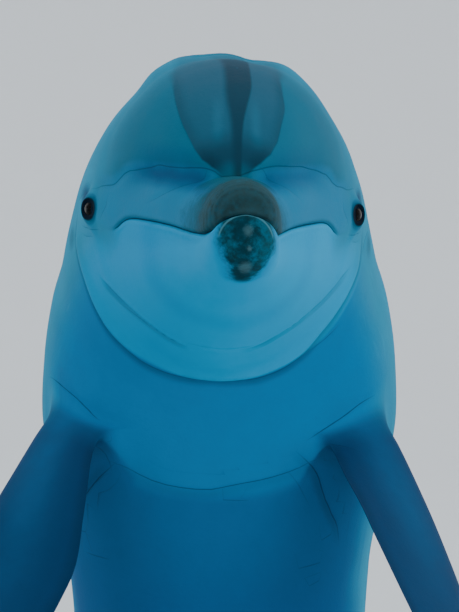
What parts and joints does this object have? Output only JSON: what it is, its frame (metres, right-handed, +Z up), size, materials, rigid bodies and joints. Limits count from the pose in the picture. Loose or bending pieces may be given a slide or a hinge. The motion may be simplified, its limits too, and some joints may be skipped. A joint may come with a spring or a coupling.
{
  "type": "bottlenose dolphin model",
  "caption": "Life-size still model of a bottlenose dolphin, upright with its head level and flippers spread, held by two steel rods on a flat base.",
  "frame": {"origin": "middle of the underside of the stand's base, on the floor", "axes": "+Z up, -Y the way the head looks, +X the animal's left side"},
  "size_m": [0.9, 1.1899, 2.3371],
  "materials": {
    "hide": "smooth damp hide, slate blue with a dark cape and a pale belly",
    "eye": "glossy dark eye",
    "stand_base": "satin grey paint with a fine texture",
    "stand_steel": "brushed",
    "stand_rubber": "matt moulded pad"
  },
  "bodies": {
    "root": {"beak_upper": "hide", "jaw_lower": "hide", "forehead": "hide", "head": "hide", "neck": "hide", "chest": "hide", "trunk": "hide", "abdomen": "hide", "tail_stock": "hide", "flipper_left": "hide", "flipper_right": "hide", "dorsal_fin": "hide", "fluke_left": "hide", "fluke_right": "hide", "eye_left": "eye", "eye_right": "eye", "stand_base": "stand_base", "stand_flange_belly": "stand_steel", "stand_flange_tail": "stand_steel", "stand_rod_belly": "stand_steel", "stand_rod_tail": "stand_steel", "stand_pad_belly": "stand_rubber", "stand_pad_tail": "stand_rubber"}
  },
  "joints": []
}
